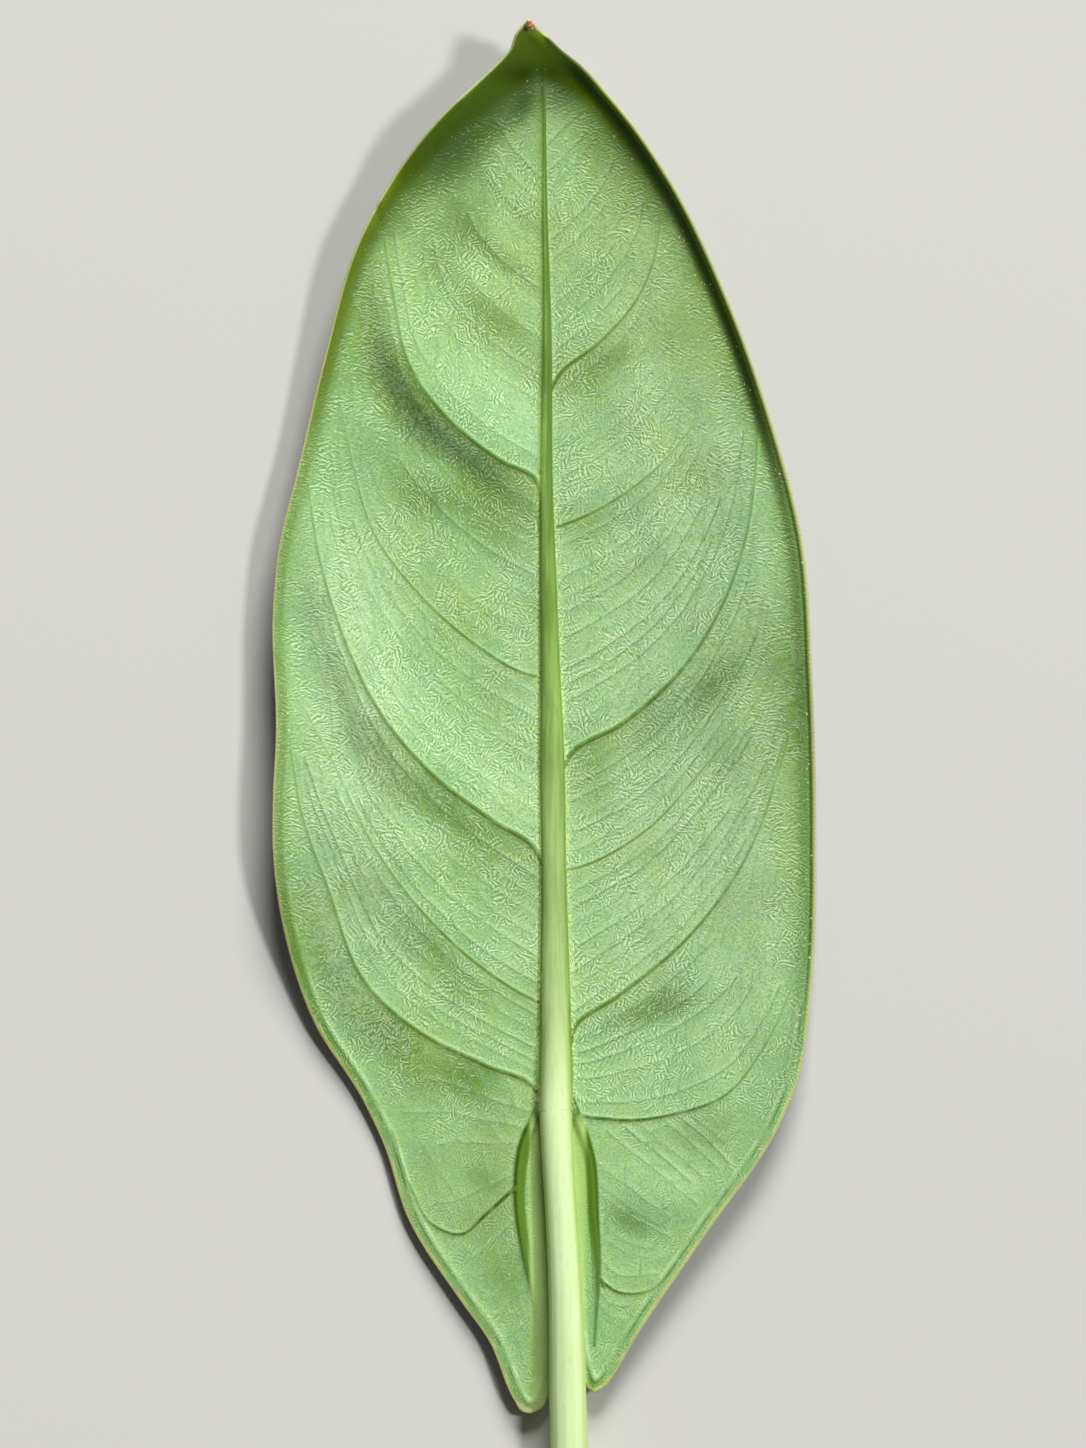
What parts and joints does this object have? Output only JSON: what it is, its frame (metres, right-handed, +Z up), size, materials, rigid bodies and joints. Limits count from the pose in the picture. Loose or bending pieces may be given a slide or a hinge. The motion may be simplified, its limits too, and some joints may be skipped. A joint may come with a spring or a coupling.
{
  "type": "alocasia leaf",
  "caption": "Cut arrow-shaped leaf with a narrow cleft, raised veins, curled rim and a round stalk, lying with its pale underside up, as foliage for arrangements or still life.",
  "frame": {"origin": "on the small flat spot of the upper face, under the midrib and the leaf's weight, on which it rests underside up", "axes": "+X across the blade to the right as seen from above with the tip away, +Y along the midrib to the tip, +Z up, the way the underside faces"},
  "size_m": [0.0702, 0.291, 0.0127],
  "materials": {
    "leaf": "satin"
  },
  "bodies": {
    "root": {"leaf": "leaf"}
  },
  "joints": []
}
